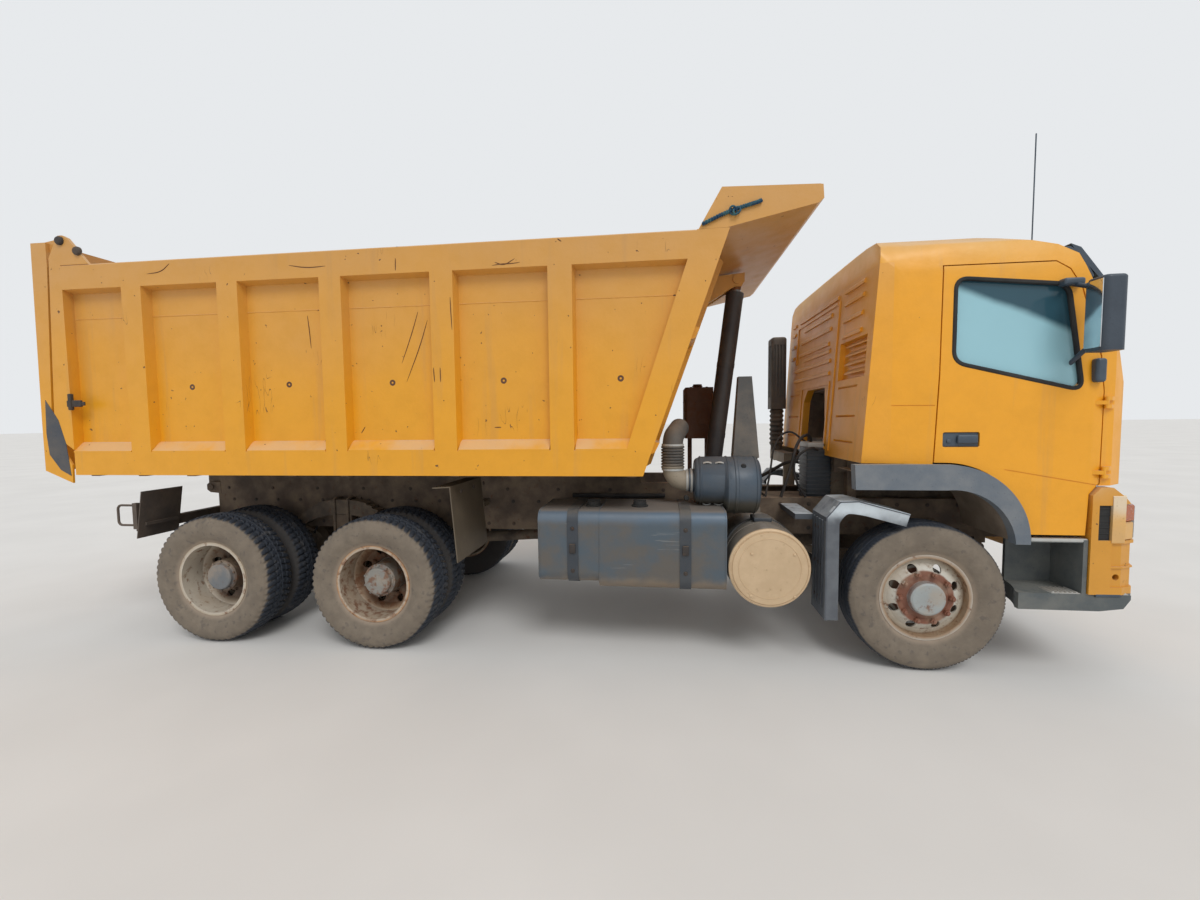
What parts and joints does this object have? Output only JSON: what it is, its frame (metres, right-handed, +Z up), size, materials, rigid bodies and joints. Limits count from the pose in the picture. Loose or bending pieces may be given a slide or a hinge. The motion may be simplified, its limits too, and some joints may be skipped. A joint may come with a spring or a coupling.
{
  "type": "three-axle dump truck",
  "caption": "Forward-control dump truck with a high-sided rear-tipping steel bed, top-hung tailgate, front telescopic hoist, hollow cab and twin-tyred rear bogie.",
  "frame": {"origin": "on the ground, at the middle of the length and width", "axes": "+X forward, +Y to the left, +Z up"},
  "size_m": [8.126, 2.88, 3.625],
  "materials": {
    "axle_iron": "rough, dusty",
    "black_plastic": "weathered",
    "body_yellow": "satin, weathered",
    "bumper_paint": "weathered",
    "duct_plastic": "dusty",
    "frame_paint": "matt, dusty and rusty",
    "grey_plastic": "dusty",
    "hoist_chrome": "polished",
    "hoist_steel": "satin, dusty",
    "interior_plastic": "grained",
    "muffler_steel": "dull, dusty",
    "rim_front": "weathered, rust ring",
    "rim_rear": "weathered, rusty",
    "rust_steel": "rusted",
    "seat_fabric": "woven",
    "tank_paint": "satin, dusty",
    "tyre": "matt, dusty",
    "window_glass": "clear, slightly tinted"
  },
  "bodies": {
    "chassis": {"air_cleaner": "duct_plastic", "air_ducts": "duct_plastic", "antenna": "black_plastic", "battery_box": "grey_plastic", "cab_back_wall": "body_yellow", "cab_floor": "frame_paint", "cab_front_panel": "body_yellow", "cab_roof": "body_yellow", "cab_sides": "body_yellow", "cab_steps": "grey_plastic", "dashboard": "interior_plastic", "engine_block": "axle_iron", "front_axle": "axle_iron", "front_bumper": "bumper_paint", "fuel_tank": "tank_paint", "hydraulic_tank": "rust_steel", "ladder_frame": "frame_paint", "leaf_springs": "axle_iron", "mudguards": "grey_plastic", "muffler": "muffler_steel", "rear_axles": "axle_iron", "rear_lamp_board": "rust_steel", "seats": "seat_fabric", "steering_wheel": "interior_plastic", "subframe": "frame_paint", "sun_visor": "black_plastic", "tank_straps": "tank_paint", "wheel_arch_trims": "grey_plastic", "windscreen": "window_glass"},
    "door_right": {"door_right": "body_yellow", "door_glass_right": "window_glass", "mirror_right": "black_plastic"},
    "door_left": {"door_left": "body_yellow", "door_glass_left": "window_glass", "mirror_left": "black_plastic"},
    "knuckle_right": {"knuckle_right": "axle_iron"},
    "knuckle_left": {"knuckle_left": "axle_iron"},
    "front_wheel_right": {"front_right_tyre": "tyre", "front_right_rim": "rim_front"},
    "front_wheel_left": {"front_left_tyre": "tyre", "front_left_rim": "rim_front"},
    "first_wheels_right": {"first_right_tyres": "tyre", "first_right_rims": "rim_rear"},
    "first_wheels_left": {"first_left_tyres": "tyre", "first_left_rims": "rim_rear"},
    "second_wheels_right": {"second_right_tyres": "tyre", "second_right_rims": "rim_rear"},
    "second_wheels_left": {"second_left_tyres": "tyre", "second_left_rims": "rim_rear"},
    "bed": {"bed_floor": "body_yellow", "bed_sides": "body_yellow", "bed_headboard": "body_yellow", "bed_canopy": "body_yellow", "bed_underframe": "body_yellow"},
    "tailgate": {"tailgate": "body_yellow"},
    "hoist_tube": {"hoist_tube": "hoist_steel"},
    "hoist_stage_1": {"hoist_stage_1": "hoist_chrome"},
    "hoist_stage_2": {"hoist_stage_2": "hoist_chrome"},
    "hoist_stage_3": {"hoist_stage_3": "hoist_chrome"}
  },
  "joints": [
    {"name": "door_right_hinge", "type": "hinge", "parent": "chassis", "child": "door_right", "pos_m": [3.72, -1.197, 1.9], "axis": [0, 0, 1], "range_deg": [0, 70]},
    {"name": "door_left_hinge", "type": "hinge", "parent": "chassis", "child": "door_left", "pos_m": [3.72, 1.197, 1.9], "axis": [0, 0, -1], "range_deg": [0, 70]},
    {"name": "steering", "type": "hinge", "parent": "chassis", "child": "knuckle_right", "pos_m": [2.711, -0.85, 0.515], "axis": [0, 0, 1], "range_deg": [-35, 35]},
    {"name": "steering_left", "type": "hinge", "parent": "chassis", "child": "knuckle_left", "pos_m": [2.711, 0.85, 0.515], "axis": [0, 0, 1], "range_deg": [-35, 35]},
    {"name": "front_wheel_right_spin", "type": "hinge", "parent": "knuckle_right", "child": "front_wheel_right", "pos_m": [2.711, -1.025, 0.515], "axis": [0, 1, 0], "continuous": true},
    {"name": "front_wheel_left_spin", "type": "hinge", "parent": "knuckle_left", "child": "front_wheel_left", "pos_m": [2.711, 1.025, 0.515], "axis": [0, 1, 0], "continuous": true},
    {"name": "first_wheels_right_spin", "type": "hinge", "parent": "chassis", "child": "first_wheels_right", "pos_m": [-1.279, -0.9175, 0.515], "axis": [0, 1, 0], "continuous": true},
    {"name": "first_wheels_left_spin", "type": "hinge", "parent": "chassis", "child": "first_wheels_left", "pos_m": [-1.279, 0.9175, 0.515], "axis": [0, 1, 0], "continuous": true},
    {"name": "second_wheels_right_spin", "type": "hinge", "parent": "chassis", "child": "second_wheels_right", "pos_m": [-2.649, -0.9175, 0.515], "axis": [0, 1, 0], "continuous": true},
    {"name": "second_wheels_left_spin", "type": "hinge", "parent": "chassis", "child": "second_wheels_left", "pos_m": [-2.649, 0.9175, 0.515], "axis": [0, 1, 0], "continuous": true},
    {"name": "bed_tip", "type": "hinge", "parent": "chassis", "child": "bed", "pos_m": [-3.389, 0, 1.15], "axis": [0, -1, 0], "range_deg": [0, 50]},
    {"name": "tailgate_swing", "type": "hinge", "parent": "bed", "child": "tailgate", "pos_m": [-3.764, 0, 3.207], "axis": [0, 1, 0], "range_deg": [0, 85]},
    {"name": "hoist_swing", "type": "hinge", "parent": "chassis", "child": "hoist_tube", "pos_m": [1.351, 0, 0.95], "axis": [0, -1, 0], "range_deg": [0, 37.07]},
    {"name": "hoist_extend_1", "type": "slide", "parent": "hoist_tube", "child": "hoist_stage_1", "axis": [0.1245, 0, 0.9922], "range_m": [0, 1.3104]},
    {"name": "hoist_extend_2", "type": "slide", "parent": "hoist_stage_1", "child": "hoist_stage_2", "axis": [0.1245, 0, 0.9922], "range_m": [0, 1.3104]},
    {"name": "hoist_extend_3", "type": "slide", "parent": "hoist_stage_2", "child": "hoist_stage_3", "axis": [0.1245, 0, 0.9922], "range_m": [0, 1.3104]}
  ],
  "couplings": [
    {"joint": "steering_left", "follows": "steering", "ratio": 1},
    {"joint": "hoist_swing", "follows": "bed_tip", "ratio": 0.73147},
    {"joint": "hoist_extend_1", "follows": "bed_tip", "m_per_rad": 1.4993},
    {"joint": "hoist_extend_2", "follows": "bed_tip", "m_per_rad": 1.4993},
    {"joint": "hoist_extend_3", "follows": "bed_tip", "m_per_rad": 1.4993}
  ]
}
